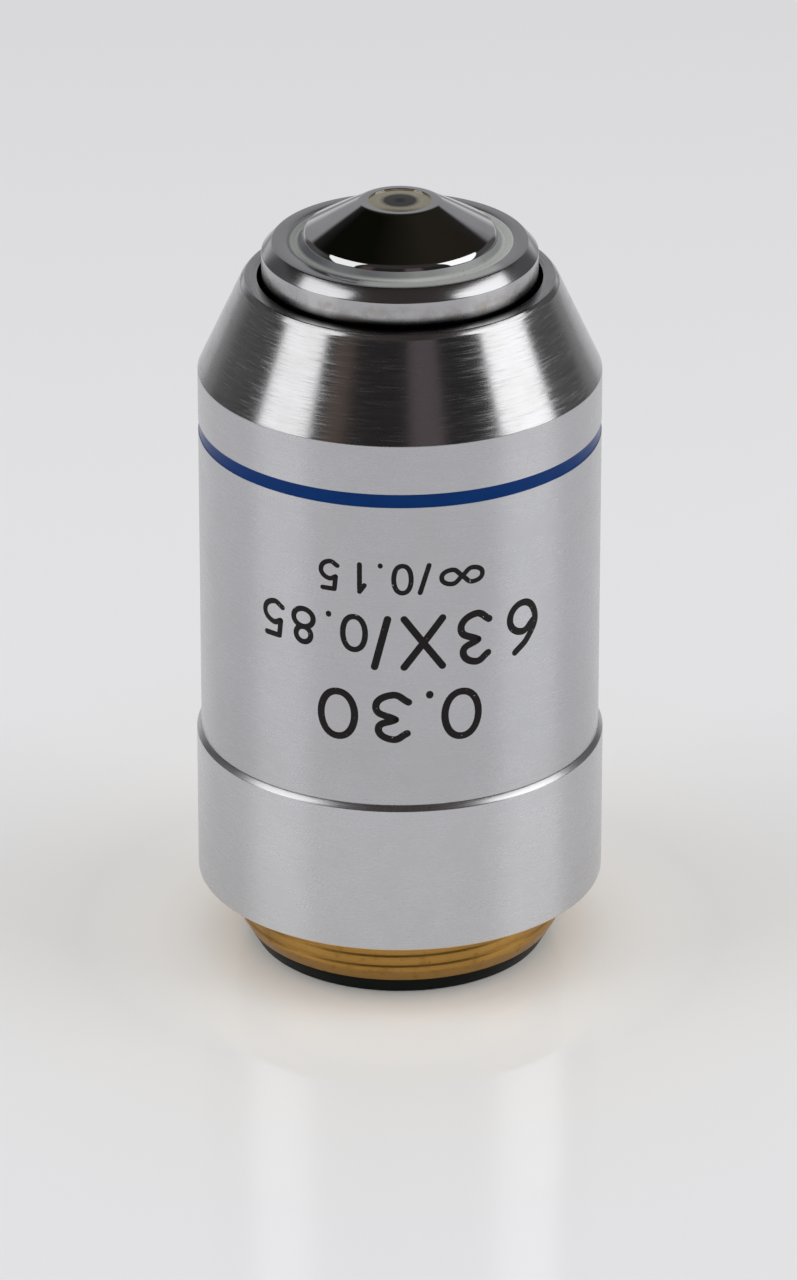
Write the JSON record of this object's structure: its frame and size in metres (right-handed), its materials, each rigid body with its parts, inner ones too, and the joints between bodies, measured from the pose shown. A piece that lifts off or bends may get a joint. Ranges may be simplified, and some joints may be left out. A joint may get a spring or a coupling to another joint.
{
  "type": "microscope objective",
  "caption": "Spring-loaded high-power microscope objective with chrome sleeve, enamel ring, brass nosepiece thread and a sliding nose that holds its lens cells.",
  "frame": {"origin": "centre of the mounting thread's end face, which the objective stands on", "axes": "+Z along the optical axis towards the front lens and specimen; X and Y across it, with the guide screw towards +Y"},
  "size_m": [0.0254, 0.0254, 0.0493],
  "materials": {
    "mount_metal": "chrome-plated brass, bare brass on the thread, black at its end",
    "sleeve_chrome": "satin chrome plate on brass with fine turning marks",
    "blue_enamel": "glossy enamel",
    "turned_brass": "turned",
    "spring_steel": "bright",
    "black_anodised": "black anodised, matt",
    "barrel_metal": "turned and lapped",
    "ring_chrome": "polished chrome plate on brass",
    "nose_chrome": "dark polished chrome plate on brass",
    "front_glass": "polished and coated",
    "sealant": "cured sealant",
    "blackened_brass": "chemically blackened",
    "crown_glass": "polished and coated",
    "flint_glass": "polished and coated"
  },
  "bodies": {
    "mount": {"mount_body": "mount_metal", "outer_sleeve": "sleeve_chrome", "colour_band": "blue_enamel", "stop_collar": "turned_brass", "parfocal_shim": "spring_steel", "guide_screw": "spring_steel", "rear_baffle": "black_anodised", "return_spring": "spring_steel"},
    "nose": {"lens_barrel": "barrel_metal", "front_ring": "ring_chrome", "nose_cone": "nose_chrome", "front_lens": "front_glass", "sealing_bead": "sealant", "meniscus_cell": "blackened_brass", "meniscus_lens": "crown_glass", "front_spacer": "black_anodised", "front_doublet_cell": "blackened_brass", "front_doublet_crown": "crown_glass", "front_doublet_flint": "flint_glass", "middle_spacer": "black_anodised", "centring_cell": "blackened_brass", "centring_crown": "crown_glass", "centring_flint": "flint_glass", "centring_screws": "spring_steel", "rear_spacer": "black_anodised", "aperture_stop": "black_anodised", "rear_cell": "blackened_brass", "rear_crown": "crown_glass", "rear_flint": "flint_glass", "rear_lock_ring": "black_anodised"}
  },
  "joints": [
    {"name": "nose_slide", "type": "slide", "parent": "mount", "child": "nose", "axis": [0, 0, 1], "range_m": [-0.0025, 0], "stiffness_N_per_m": 450, "springref_m": 0.004, "deforming": ["return_spring"]}
  ]
}
